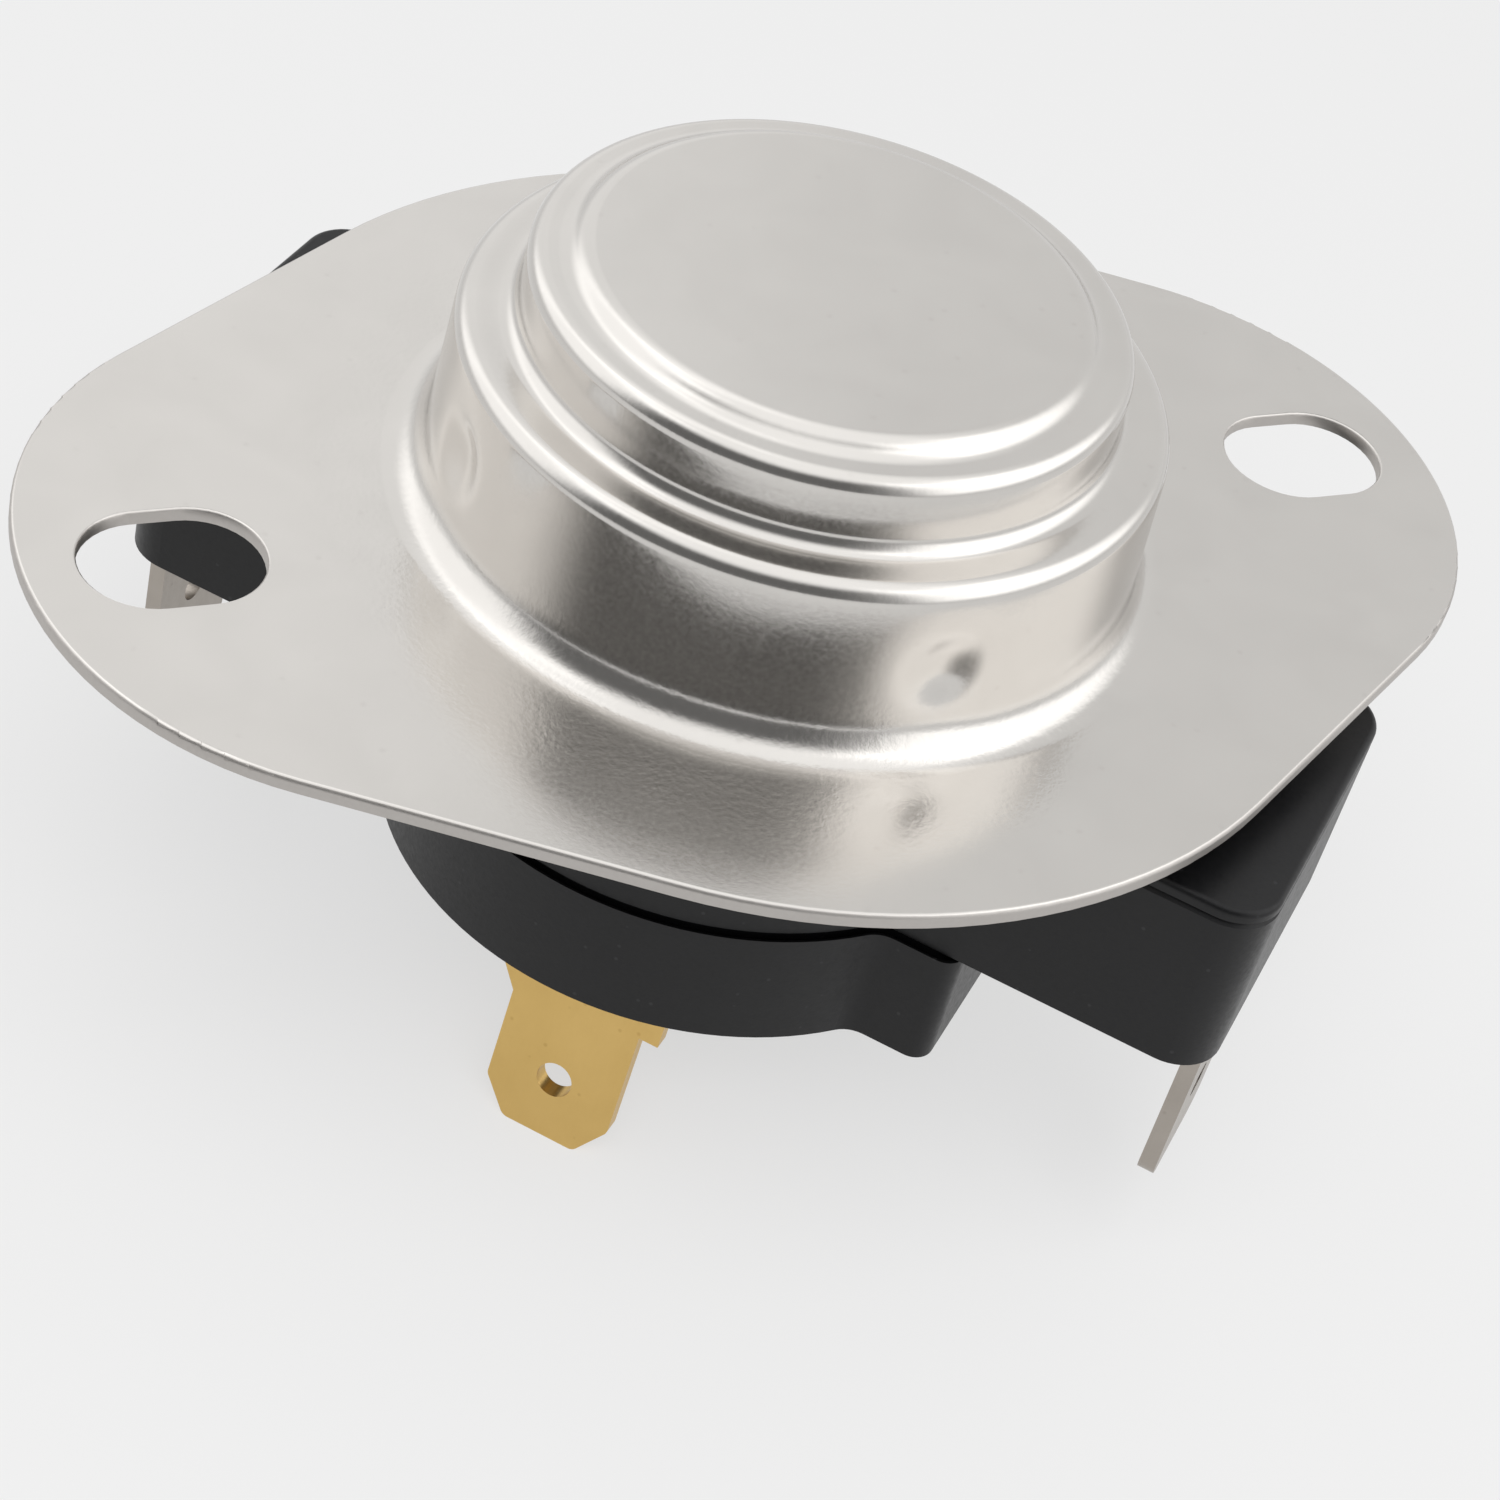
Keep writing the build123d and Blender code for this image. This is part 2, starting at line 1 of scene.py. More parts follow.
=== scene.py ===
import bmesh
import bpy
import json
import math
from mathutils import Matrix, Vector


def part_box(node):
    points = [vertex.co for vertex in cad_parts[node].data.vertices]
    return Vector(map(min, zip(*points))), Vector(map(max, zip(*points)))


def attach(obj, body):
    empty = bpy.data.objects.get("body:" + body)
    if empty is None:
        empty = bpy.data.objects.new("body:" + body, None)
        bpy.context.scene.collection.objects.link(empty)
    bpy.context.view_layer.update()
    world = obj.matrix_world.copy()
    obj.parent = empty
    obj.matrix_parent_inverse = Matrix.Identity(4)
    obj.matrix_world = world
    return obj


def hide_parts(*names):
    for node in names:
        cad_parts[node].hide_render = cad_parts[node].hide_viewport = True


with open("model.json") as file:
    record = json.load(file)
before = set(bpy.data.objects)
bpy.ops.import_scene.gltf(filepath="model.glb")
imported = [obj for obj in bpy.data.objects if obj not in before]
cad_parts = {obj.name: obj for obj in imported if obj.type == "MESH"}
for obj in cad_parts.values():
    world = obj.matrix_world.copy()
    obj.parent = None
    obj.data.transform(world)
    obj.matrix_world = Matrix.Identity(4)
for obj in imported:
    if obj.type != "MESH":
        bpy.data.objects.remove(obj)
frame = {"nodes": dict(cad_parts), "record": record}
print("frame loaded:", len(frame["nodes"]), "nodes")
mm = 0.001


def fromScreen(red, green, blue):  # a colour as a screen shows it, 0 to 255, made linear for a shader
    linear = []
    for value in (red, green, blue):
        share = value / 255
        linear.append(share / 12.92 if share <= 0.04045 else ((share + 0.055) / 1.055) ** 2.4)
    return (*linear, 1)


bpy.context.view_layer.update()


# Node groups that several finishes share

def newGroup(name, inputs, outputs):
    group = bpy.data.node_groups.new(name, "ShaderNodeTree")
    for label, value in inputs.items():
        socket = group.interface.new_socket(label, in_out="INPUT", socket_type="NodeSocketFloat")
        socket.default_value = value
    for label in outputs:
        group.interface.new_socket(label, in_out="OUTPUT", socket_type="NodeSocketFloat")
    return group, group.nodes.new("NodeGroupInput"), group.nodes.new("NodeGroupOutput")


def addNode(tree, kind, settings=None, values=None):  # a node with its settings and its unlinked sockets
    node = tree.nodes.new(kind)
    for key, value in (settings or {}).items():
        setattr(node, key, value)
    for key, value in (values or {}).items():
        node.inputs[key].default_value = value
    return node


def mathNode(tree, operation, first, second=None, third=None):  # sockets are linked, numbers stay
    node = addNode(tree, "ShaderNodeMath", {"operation": operation})
    for index, value in enumerate((first, second, third)):
        if isinstance(value, bpy.types.NodeSocket):
            tree.links.new(value, node.inputs[index])
        elif value is not None:
            node.inputs[index].default_value = value
    return node.outputs[0]


def smoothStep(tree, value, low, high):  # 0 up to low, 1 from high, and soft between
    step = addNode(tree, "ShaderNodeMapRange", {"interpolation_type": "SMOOTHSTEP"})
    step.inputs["From Min"].default_value, step.inputs["From Max"].default_value = low, high
    tree.links.new(value, step.inputs["Value"])
    return step.outputs[0]


def splitPlace(tree, source):  # a place or direction as its X, Y and Z
    parts = addNode(tree, "ShaderNodeSeparateXYZ")
    tree.links.new(source, parts.inputs[0])
    return parts.outputs


noiseLooks = {
    "grain": {"Detail": 3, "Roughness": 0.6},
    "patches": {"Detail": 2, "Roughness": 0.5, "Distortion": 0.4},
    "streaks": {"Scale": 1.0, "Detail": 2, "Roughness": 0.6},
    "lines": {"Scale": 1.0, "Detail": 2, "Roughness": 0.65},
}
speckEdge = (0.24, 0.08)  # how far from its middle a speck starts and is full, as shares of its cell


def buildGrainGroup():  # fine grain and soft patches, with both sizes in millimetres
    group, start, end = newGroup(
        "surfaceGrain",
        {"Grain Size": 0.2, "Grain Depth": 1.0, "Patch Size": 6.0, "Patch Depth": 1.0},
        ["Grain", "Patches", "Height"],
    )
    link = group.links.new
    place = addNode(group, "ShaderNodeTexCoord").outputs["Object"]
    grain = addNode(group, "ShaderNodeTexNoise", {}, noiseLooks["grain"])
    patches = addNode(group, "ShaderNodeTexNoise", {}, noiseLooks["patches"])
    for noise, size in ((grain, "Grain Size"), (patches, "Patch Size")):
        link(place, noise.inputs["Vector"])
        link(mathNode(group, "DIVIDE", 1 / mm, start.outputs[size]), noise.inputs["Scale"])
    grainHeight = mathNode(group, "MULTIPLY", grain.outputs["Fac"], start.outputs["Grain Depth"])
    patchHeight = mathNode(group, "MULTIPLY", patches.outputs["Fac"], start.outputs["Patch Depth"])
    link(grain.outputs["Fac"], end.inputs["Grain"])
    link(patches.outputs["Fac"], end.inputs["Patches"])
    link(mathNode(group, "ADD", patchHeight, grainHeight), end.inputs["Height"])
    return group


def buildBandGroup():  # 1 in a band of distances from the upright axis and below a level, in millimetres
    group, start, end = newGroup(
        "ringBand",
        {"Inner": 15.0, "Outer": 19.0, "Softness": 1.0, "Top": 3.0},
        ["Mask"],
    )
    place = splitPlace(group, addNode(group, "ShaderNodeTexCoord").outputs["Object"])
    across = mathNode(group, "MULTIPLY", place["X"], place["X"])
    squared = mathNode(group, "MULTIPLY_ADD", place["Y"], place["Y"], across)
    radius = mathNode(group, "DIVIDE", mathNode(group, "SQRT", squared), mm)
    height = mathNode(group, "DIVIDE", place["Z"], mm)
    masks = []
    for value, edge, sign in ((radius, "Inner", 1), (radius, "Outer", -1), (height, "Top", -1)):
        reach = mathNode(group, "MULTIPLY", mathNode(group, "SUBTRACT", value, start.outputs[edge]), sign)
        share = mathNode(group, "DIVIDE", reach, start.outputs["Softness"])
        masks.append(smoothStep(group, share, -0.5, 0.5))  # half of the softness lies on each side
    both = mathNode(group, "MULTIPLY", masks[0], masks[1])
    group.links.new(mathNode(group, "MULTIPLY", both, masks[2]), end.inputs["Mask"])
    return group


def buildStreakGroup():  # faint lines that a drawn wall carries up its height
    group, start, end = newGroup("drawnStreaks", {"Lines": 60.0, "Stretch": 40.0}, ["Streaks"])
    link = group.links.new
    place = splitPlace(group, addNode(group, "ShaderNodeTexCoord").outputs["Object"])
    turn = mathNode(group, "ARCTAN2", place["Y"], place["X"])
    around = addNode(group, "ShaderNodeCombineXYZ")
    for axis, operation in (("X", "COSINE"), ("Y", "SINE")):
        scaled = mathNode(group, "MULTIPLY", mathNode(group, operation, turn), start.outputs["Lines"])
        link(scaled, around.inputs[axis])
    link(mathNode(group, "MULTIPLY", place["Z"], start.outputs["Stretch"]), around.inputs["Z"])
    noise = addNode(group, "ShaderNodeTexNoise", {}, noiseLooks["streaks"])
    link(around.outputs[0], noise.inputs["Vector"])
    link(noise.outputs["Fac"], end.inputs["Streaks"])
    return group


def buildRolledGroup():  # fine straight lines of rolled or moulded stock, counted per millimetre
    group, start, end = newGroup("rolledLines", {"Across": 8.0, "Along": 0.4}, ["Lines"])
    link = group.links.new
    place = splitPlace(group, addNode(group, "ShaderNodeTexCoord").outputs["Object"])
    spread = addNode(group, "ShaderNodeCombineXYZ")
    across = mathNode(group, "DIVIDE", start.outputs["Across"], mm)
    along = mathNode(group, "DIVIDE", start.outputs["Along"], mm)
    for axis, scale in (("X", across), ("Y", across), ("Z", along)):
        link(mathNode(group, "MULTIPLY", place[axis], scale), spread.inputs[axis])
    noise = addNode(group, "ShaderNodeTexNoise", {}, noiseLooks["lines"])
    link(spread.outputs[0], noise.inputs["Vector"])
    link(noise.outputs["Fac"], end.inputs["Lines"])
    return group


def buildSpeckGroup():  # sparse small marks, such as dust, pores or handling nicks
    group, start, end = newGroup("fineSpecks", {"Speck Size": 0.5, "Amount": 0.3}, ["Specks"])
    link = group.links.new
    place = addNode(group, "ShaderNodeTexCoord").outputs["Object"]
    cells = addNode(group, "ShaderNodeTexVoronoi", {}, {"Randomness": 1.0})
    link(place, cells.inputs["Vector"])
    link(mathNode(group, "DIVIDE", 1 / mm, start.outputs["Speck Size"]), cells.inputs["Scale"])
    chance = splitPlace(group, cells.outputs["Color"])["X"]
    chosen = mathNode(group, "LESS_THAN", chance, start.outputs["Amount"])
    spot = smoothStep(group, cells.outputs["Distance"], *speckEdge)
    link(mathNode(group, "MULTIPLY", chosen, spot), end.inputs["Specks"])
    return group


surfaceGrain = buildGrainGroup()
ringBand = buildBandGroup()
drawnStreaks = buildStreakGroup()
rolledLines = buildRolledGroup()
fineSpecks = buildSpeckGroup()
print("node groups made")


# Finishes

textureRange = (0.3, 0.7)  # where a noise has most of its values; the polish is spread over it
mixFirst, mixSecond, mixResult = 6, 7, 2  # a Mix node's colour sockets


def addGroup(tree, group, values):
    return addNode(tree, "ShaderNodeGroup", {"node_tree": group}, values).outputs


def mixTones(tree, share, first, second):  # a tone is a colour or a linked socket
    mix = addNode(tree, "ShaderNodeMix", {"data_type": "RGBA"})
    tree.links.new(share, mix.inputs["Factor"])
    for index, tone in ((mixFirst, first), (mixSecond, second)):
        if isinstance(tone, bpy.types.NodeSocket):
            tree.links.new(tone, mix.inputs[index])
        else:
            mix.inputs[index].default_value = tone
    return mix.outputs[mixResult]


def buildFinish(name, look):  # two close tones in soft patches, with grain in the polish and in the relief
    material = bpy.data.materials.new(name)
    material.use_nodes = True
    tree = material.node_tree
    link = tree.links.new
    surface = tree.nodes["Principled BSDF"]
    surface.inputs["Metallic"].default_value = look["metallic"]
    surface.inputs["Specular IOR Level"].default_value = look["specular"]
    grain = addGroup(tree, surfaceGrain, {
        "Grain Size": look["grainSize"], "Grain Depth": look["grainDepth"],
        "Patch Size": look["patchSize"], "Patch Depth": look["patchDepth"],
    })
    rolled = addGroup(tree, rolledLines, {"Across": look["linesAcross"], "Along": look["linesAlong"]})
    lines = rolled["Lines"]
    specks = addGroup(tree, fineSpecks, {"Speck Size": look["speckSize"], "Amount": look["speckAmount"]})
    speckShare = mathNode(tree, "MULTIPLY", specks["Specks"], look["speckStrength"])
    tone = mixTones(tree, grain["Patches"], look["darkTone"], look["lightTone"])
    link(mixTones(tree, speckShare, tone, look["speckTone"]), surface.inputs["Base Color"])
    grainPart = mathNode(tree, "MULTIPLY", grain["Grain"], 1 - look["lineShare"])
    texture = mathNode(tree, "MULTIPLY_ADD", lines, look["lineShare"], grainPart)
    polish = addNode(tree, "ShaderNodeMapRange", {}, {
        "From Min": textureRange[0], "From Max": textureRange[1],
        "To Min": look["smoothest"], "To Max": look["roughest"],
    })
    link(texture, polish.inputs["Value"])
    link(polish.outputs[0], surface.inputs["Roughness"])
    relief = mathNode(tree, "MULTIPLY_ADD", lines, look["lineDepth"], grain["Height"])
    bump = addNode(tree, "ShaderNodeBump", {}, {"Strength": look["bump"], "Distance": look["bumpDepth"]})
    link(relief, bump.inputs["Height"])
    link(bump.outputs[0], surface.inputs["Normal"])
    return material


def addDrawnMarks(material, look):  # the cup's own marks: peel on the stretched flare, streaks up the walls
    tree = material.node_tree
    relief = next(node for node in tree.nodes if node.type == "BUMP").inputs["Height"]
    peel = addGroup(tree, surfaceGrain, {
        "Grain Size": look["peelSize"], "Grain Depth": look["peelDepth"],
        "Patch Size": look["peelPatch"], "Patch Depth": 0,
    })
    flare = addGroup(tree, ringBand, look["flareBand"])["Mask"]
    streaks = addGroup(tree, drawnStreaks, {"Lines": look["streakLines"], "Stretch": look["streakStretch"]})
    strength = mathNode(tree, "MULTIPLY", flare, peel["Patches"])
    rolled = relief.links[0].from_socket
    peelHeight = mathNode(tree, "MULTIPLY_ADD", peel["Height"], strength, rolled)
    height = mathNode(tree, "MULTIPLY_ADD", streaks["Streaks"], look["streakDepth"], peelHeight)
    tree.links.new(height, relief)


def addShearedEdges(material, look):  # a duller, rougher cut face on the flange's rim and in its slots
    tree = material.node_tree
    surface = tree.nodes["Principled BSDF"].inputs
    normal = splitPlace(tree, addNode(tree, "ShaderNodeNewGeometry").outputs["Normal"])
    upright = smoothStep(tree, mathNode(tree, "ABSOLUTE", normal["Z"]), *look["shearedFacing"])
    sheared = mathNode(tree, "MULTIPLY", upright, addGroup(tree, ringBand, look["shearedBand"])["Mask"])
    rolledRough, rolledTone = (surface[name].links[0].from_socket for name in ("Roughness", "Base Color"))
    rough = mathNode(tree, "MULTIPLY_ADD", sheared, look["shearedRough"], rolledRough)
    tree.links.new(rough, surface["Roughness"])
    tree.links.new(mixTones(tree, sheared, rolledTone, look["shearedTone"]), surface["Base Color"])


def describe(dark, light, polish, grain, patch, lines, specks, speckTone, bump, metallic=1, specular=0.5):
    return {  # sizes in millimetres; a grain, patch or bump is its size and depth
        "darkTone": fromScreen(*dark), "lightTone": fromScreen(*light), "metallic": metallic,
        "smoothest": polish[0], "roughest": polish[1], "specular": specular,
        "grainSize": grain[0], "grainDepth": grain[1], "patchSize": patch[0], "patchDepth": patch[1],
        "linesAcross": lines[0], "linesAlong": lines[1], "lineDepth": lines[2], "lineShare": lines[3],
        "speckSize": specks[0], "speckAmount": specks[1], "speckStrength": specks[2],
        "speckTone": fromScreen(*speckTone), "bump": bump[0], "bumpDepth": bump[1] * mm,
    }


# Tones are as a screen shows them. Polish is the smoothest and the roughest. Specks are size, amount and
# strength. Lines are their count per millimetre across and along, their depth and their share in the polish.
finishLooks = {
    "drawnSteel": describe(
        dark=(204, 201, 197), light=(214, 211, 207), polish=(0.13, 0.22), grain=(0.22, 1.0), patch=(5.0, 0.5),
        lines=(0.9, 0.9, 0.1, 0.2), specks=(0.9, 0.16, 0.1), speckTone=(178, 172, 168), bump=(0.25, 0.01),
    ),
    "bimetalStrip": describe(
        dark=(150, 146, 140), light=(170, 165, 158), polish=(0.26, 0.4), grain=(0.2, 0.7), patch=(3.0, 0.3),
        lines=(4.0, 4.0, 0.6, 0.4), specks=(0.7, 0.2, 0.3), speckTone=(120, 112, 104), bump=(0.3, 0.01),
    ),
    "tanMoulding": describe(
        dark=(104, 80, 54), light=(122, 96, 66), polish=(0.42, 0.58), grain=(0.25, 1.0), patch=(2.5, 0.4),
        lines=(2.0, 2.0, 0.2, 0.2), specks=(0.5, 0.3, 0.5), speckTone=(150, 126, 96), bump=(0.35, 0.02),
        metallic=0,
    ),
    "firedCeramic": describe(
        dark=(218, 213, 203), light=(232, 228, 220), polish=(0.2, 0.34), grain=(0.3, 0.8), patch=(2.0, 0.5),
        lines=(3.0, 3.0, 0.2, 0.1), specks=(0.6, 0.15, 0.4), speckTone=(176, 168, 156), bump=(0.25, 0.015),
        metallic=0,
    ),
    "blackMoulding": describe(
        dark=(11, 11, 12), light=(17, 17, 19), polish=(0.32, 0.46), grain=(0.26, 1.0), patch=(7.0, 0.35),
        lines=(1.2, 1.2, 0.3, 0.2), specks=(0.55, 0.1, 0.3), speckTone=(62, 62, 64), bump=(0.3, 0.02),
        metallic=0, specular=0.31,
    ),
    "stampedBrass": describe(
        dark=(208, 174, 106), light=(222, 188, 120), polish=(0.3, 0.42), grain=(0.18, 0.8), patch=(3.5, 0.35),
        lines=(7.0, 0.5, 0.8, 0.5), specks=(0.6, 0.12, 0.35), speckTone=(176, 138, 74), bump=(0.25, 0.01),
    ),
    "bracketBrass": describe(
        dark=(196, 160, 92), light=(212, 176, 108), polish=(0.32, 0.45), grain=(0.18, 0.8), patch=(3.0, 0.35),
        lines=(7.0, 0.5, 0.8, 0.5), specks=(0.6, 0.16, 0.4), speckTone=(160, 122, 66), bump=(0.25, 0.01),
    ),
    "springCopper": describe(
        dark=(196, 134, 96), light=(212, 150, 112), polish=(0.24, 0.38), grain=(0.18, 0.7), patch=(3.0, 0.3),
        lines=(6.0, 6.0, 0.6, 0.4), specks=(0.5, 0.12, 0.4), speckTone=(146, 92, 64), bump=(0.25, 0.01),
    ),
    "contactSilver": describe(
        dark=(212, 211, 208), light=(228, 227, 224), polish=(0.16, 0.3), grain=(0.12, 0.8), patch=(1.0, 0.3),
        lines=(8.0, 8.0, 0.5, 0.4), specks=(0.3, 0.3, 0.4), speckTone=(150, 146, 140), bump=(0.25, 0.006),
    ),
    "platedRivet": describe(
        dark=(176, 173, 168), light=(194, 191, 186), polish=(0.24, 0.4), grain=(0.15, 0.9), patch=(1.2, 0.4),
        lines=(8.0, 8.0, 0.5, 0.4), specks=(0.4, 0.25, 0.4), speckTone=(120, 116, 110), bump=(0.3, 0.01),
    ),
    "tinPlate": describe(
        dark=(162, 155, 147), light=(178, 171, 163), polish=(0.28, 0.4), grain=(0.2, 0.8), patch=(2.4, 0.4),
        lines=(6.0, 0.5, 0.7, 0.45), specks=(0.6, 0.16, 0.4), speckTone=(140, 130, 122), bump=(0.25, 0.01),
    ),
    "windingWire": describe(
        dark=(116, 108, 98), light=(142, 132, 120), polish=(0.3, 0.46), grain=(0.1, 0.8), patch=(1.0, 0.4),
        lines=(9.0, 9.0, 0.5, 0.4), specks=(0.3, 0.2, 0.4), speckTone=(84, 76, 68), bump=(0.3, 0.006),
    ),
    "tinnedLead": describe(
        dark=(184, 183, 180), light=(202, 201, 198), polish=(0.22, 0.36), grain=(0.14, 0.8), patch=(1.2, 0.4),
        lines=(8.0, 8.0, 0.5, 0.4), specks=(0.4, 0.2, 0.4), speckTone=(132, 130, 126), bump=(0.3, 0.008),
    ),
}
cupMarks = {  # bands are distances from the cup's axis and a top level, in millimetres
    "peelSize": 0.3, "peelDepth": 8.0, "peelPatch": 1.8,
    "flareBand": {"Inner": 15.2, "Outer": 21.5, "Softness": 3.0, "Top": 2.6},
    "streakLines": 46.0, "streakStretch": 60.0, "streakDepth": 0.5,
    "shearedBand": {"Inner": 18.5, "Outer": 60, "Softness": 0.5, "Top": 1},
    "shearedFacing": (0.94, 0.7),  # upward part of the normal where the cut face starts and is full
    "shearedRough": 0.3, "shearedTone": fromScreen(190, 186, 182),
}
finishes = {name: buildFinish(name, look) for name, look in finishLooks.items()}
addDrawnMarks(finishes["drawnSteel"], cupMarks)
addShearedEdges(finishes["drawnSteel"], cupMarks)
finishOfSlot = {
    "cup_steel": "drawnSteel", "disc_metal": "bimetalStrip", "guide_moulding": "tanMoulding",
    "ceramic": "firedCeramic", "black_moulding": "blackMoulding", "terminal_brass": "stampedBrass",
    "bracket_brass": "bracketBrass", "spring_alloy": "springCopper", "contact_silver": "contactSilver",
    "rivet_metal": "platedRivet", "tin_plate": "tinPlate", "winding_wire": "windingWire",
    "lead_metal": "tinnedLead",
}
slotOfNode = {row["node"]: row["material_slot"] for row in frame["record"]["subparts"]}
for nodeName, node in frame["nodes"].items():
    finish = finishes[finishOfSlot[slotOfNode[nodeName]]]
    if node.material_slots:
        node.material_slots[0].material = finish
    else:
        node.data.materials.append(finish)
print("finishes set:", len(finishes))


# Ways of working that the new pieces share

mergeReach = 0.001 * mm  # points this near become one


def selectOnly(*pieces):
    bpy.ops.object.select_all(action="DESELECT")
    for piece in pieces:
        piece.select_set(True)
    bpy.context.view_layer.objects.active = pieces[0]


def clearPick(mesh):
    for part in (mesh.faces, mesh.edges, mesh.verts):
        for element in part:
            element.select = False


def pickPoints(piece, test):  # selects, in edit mode, the points whose place in millimetres passes a test
    mesh = bmesh.from_edit_mesh(piece.data)
    clearPick(mesh)
    for point in mesh.verts:
        point.select = test(*(value / mm for value in point.co))
    mesh.select_flush(True)
    bmesh.update_edit_mesh(piece.data)


def pickOpenEdges(piece, test):  # the same for edges with one face, by the place of their middle
    mesh = bmesh.from_edit_mesh(piece.data)
    clearPick(mesh)
    for edge in mesh.edges:
        middle = (edge.verts[0].co + edge.verts[1].co) / 2
        if edge.is_boundary and test(*(value / mm for value in middle)):
            edge.select_set(True)
    bmesh.update_edit_mesh(piece.data)


def copyNode(nodeName, newName):  # a copy of a solid's mesh, with its loose triangles merged
    copied = bpy.data.objects.new(newName, frame["nodes"][nodeName].data.copy())
    bpy.context.scene.collection.objects.link(copied)
    selectOnly(copied)
    bpy.ops.mesh.customdata_custom_splitnormals_clear()
    bpy.ops.object.mode_set(mode="EDIT")
    bpy.ops.mesh.select_all(action="SELECT")
    bpy.ops.mesh.remove_doubles(threshold=mergeReach)
    bpy.ops.object.mode_set(mode="OBJECT")
    return copied


def useModifier(piece, kind, settings):
    selectOnly(piece)
    modifier = piece.modifiers.new(kind.lower(), kind)
    for key, value in settings.items():
        setattr(modifier, key, value)
    bpy.ops.object.modifier_apply(modifier=modifier.name)


def settle(piece, finish, nodeNames, body="switch_body"):  # nodeNames: the solids it stands for
    piece.data.materials.clear()
    piece.data.materials.append(finishes[finish])
    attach(piece, body)
    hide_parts(*nodeNames)


# Mounting cup: the punched flange is kept, and the drawn middle is spun from its section

drawnCup = {  # millimetres and degrees
    "sheet": 0.65, "turns": 288, "arcStep": 6, "wallStep": 0.35,
    "plateauHeight": 12.25, "plateauFlat": 10.4, "stepBend": 1.05, "stepSlope": 46,
    "wallRadius": 13.1, "shoulderBend": 0.8, "ledgeInnerBend": 0.8, "ledgeHeight": 8.22,
    "ledgeRadius": 15.6, "ledgeBend": 0.85, "footRadius": 16.0, "flareBend": 1.8, "flareEnd": 84,
    "stakeHeight": 4.1, "stakeReach": 2.25, "stakeDepth": 0.44, "dentReach": 3.8, "dentDepth": 0.12,
    "smoothAngle": 50, "flatAngle": 0.1,  # bends below the first look round, faces within the second merge
    "keptFrom": 17.65, "keptMargin": 0.1, "seamMargin": 0.2,
    "seamLevels": ((-0.02, 0.1), (-0.7, -0.55)),  # the upper and the lower face of the sheet
}


def bendPoints(across, up, radius, fromTurn, toTurn, side):  # side 1 bulges outwards, side -1 is hollow
    count = max(2, round(abs(toTurn - fromTurn) / drawnCup["arcStep"]))
    turns = [math.radians(fromTurn + (toTurn - fromTurn) * index / count) for index in range(count + 1)]
    reach = side * radius
    return [(across + reach * math.cos(turn), up + reach * math.sin(turn)) for turn in turns]


def cupSection(cup):  # the sheet's outer line, from the middle of the plateau to the flare
    upright = 90
    lowTurn = upright - cup["stepSlope"]
    lean = math.degrees(math.atan2(cup["footRadius"] - cup["ledgeRadius"], cup["ledgeHeight"]))
    leanCos, leanSin = math.cos(math.radians(lean)), math.sin(math.radians(lean))
    wallOffset = leanCos * cup["ledgeRadius"] + leanSin * cup["ledgeHeight"]
    bend = cup["stepBend"]
    crest = bendPoints(cup["plateauFlat"], cup["plateauHeight"] - bend, bend, upright, lowTurn, 1)
    hollowAcross = 2 * (crest[-1][0] - cup["plateauFlat"]) + cup["plateauFlat"]
    shoulderHeight = 2 * crest[-1][1] - cup["plateauHeight"]
    hollow = bendPoints(hollowAcross, shoulderHeight + bend, bend, lowTurn, upright, -1)
    bend = cup["shoulderBend"]
    shoulder = bendPoints(cup["wallRadius"] - bend, shoulderHeight - bend, bend, upright, 0, 1)
    bend = cup["ledgeInnerBend"]
    ledgeStart = bendPoints(cup["wallRadius"] + bend, cup["ledgeHeight"] + bend, bend, 0, upright, -1)
    ledgeUp = cup["ledgeHeight"] - cup["ledgeBend"]
    ledgeAcross = (wallOffset - cup["ledgeBend"] - ledgeUp * leanSin) / leanCos
    ledgeEnd = bendPoints(ledgeAcross, ledgeUp, cup["ledgeBend"], upright, lean, 1)
    flareAcross = (wallOffset + cup["flareBend"] * (1 - leanSin)) / leanCos
    flare = bendPoints(flareAcross, cup["flareBend"], cup["flareBend"], lean, cup["flareEnd"], -1)
    corners = [(0, cup["plateauHeight"])] + crest + hollow[1:] + shoulder + ledgeStart + ledgeEnd + flare
    points = corners[:1]
    for start, end in zip(corners, corners[1:]):  # straight runs outside the plateau get more points
        outside = start[0] > cup["plateauFlat"]
        count = max(1, round(math.dist(start, end) / cup["wallStep"])) if outside else 1
        for index in range(1, count + 1):
            points.append(tuple(low + (high - low) * index / count for low, high in zip(start, end)))
    return points


